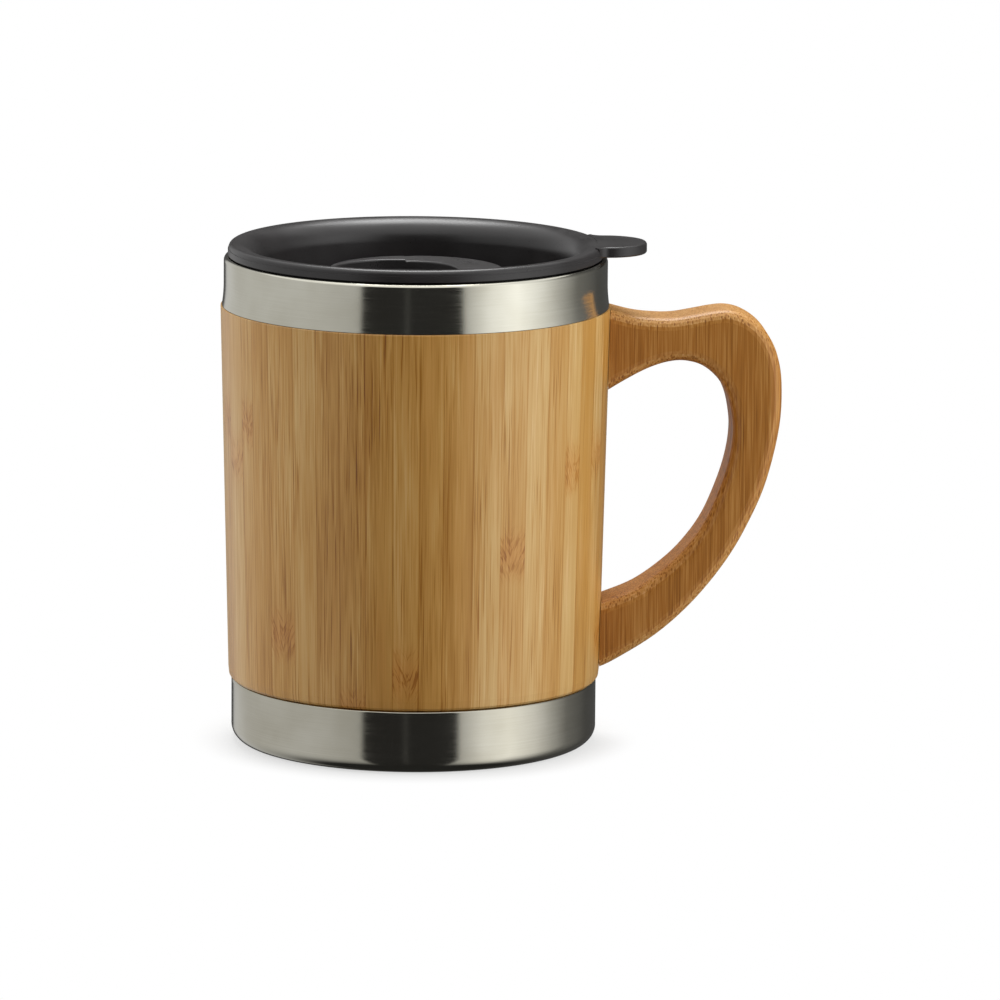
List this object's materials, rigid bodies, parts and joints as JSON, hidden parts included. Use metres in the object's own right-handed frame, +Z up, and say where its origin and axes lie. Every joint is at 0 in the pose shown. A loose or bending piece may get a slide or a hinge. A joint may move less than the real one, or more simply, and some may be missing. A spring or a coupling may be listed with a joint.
{
  "type": "insulated cup with lid",
  "caption": "Double-wall steel cup clad in a bamboo sleeve, with a looped bamboo handle and a push-on lid with thumb tab and turning closure dial.",
  "frame": {"origin": "centre of the flat underside of the foot, on the cup's axis", "axes": "+Z up along the cup's axis, +X towards the handle and the thumb tab, -Y towards the side seen in the picture"},
  "size_m": [0.1245, 0.0864, 0.1118],
  "materials": {
    "bamboo": "satin lacquer on laminated bamboo strips",
    "handle_bamboo": "oiled laminated bamboo",
    "outer_steel": "fine horizontal brushing, polished over",
    "inner_steel": "satin",
    "fastener_steel": "plain",
    "lid_plastic": "satin black polypropylene",
    "silicone": "matte"
  },
  "bodies": {
    "cup": {"bamboo_sleeve": "bamboo", "inner_cup": "inner_steel", "outer_shell": "outer_steel", "shell_bottom": "inner_steel", "steel_foot": "outer_steel", "handle": "handle_bamboo", "handle_screws": "fastener_steel"},
    "lid": {"lid_body": "lid_plastic", "lid_gasket": "silicone"},
    "closure": {"closure_dial": "lid_plastic", "closure_shutter": "lid_plastic", "shutter_seal": "silicone", "stem_o_ring": "silicone", "shutter_screw": "fastener_steel", "shutter_washer": "fastener_steel"}
  },
  "joints": [
    {"name": "lid_lift", "type": "slide", "parent": "cup", "child": "lid", "axis": [0, 0, 1], "range_m": [0, 0.04]},
    {"name": "dial_turn", "type": "hinge", "parent": "lid", "child": "closure", "pos_m": [0, 0, 0.097], "axis": [0, 0, 1], "range_deg": [0, 60]}
  ]
}
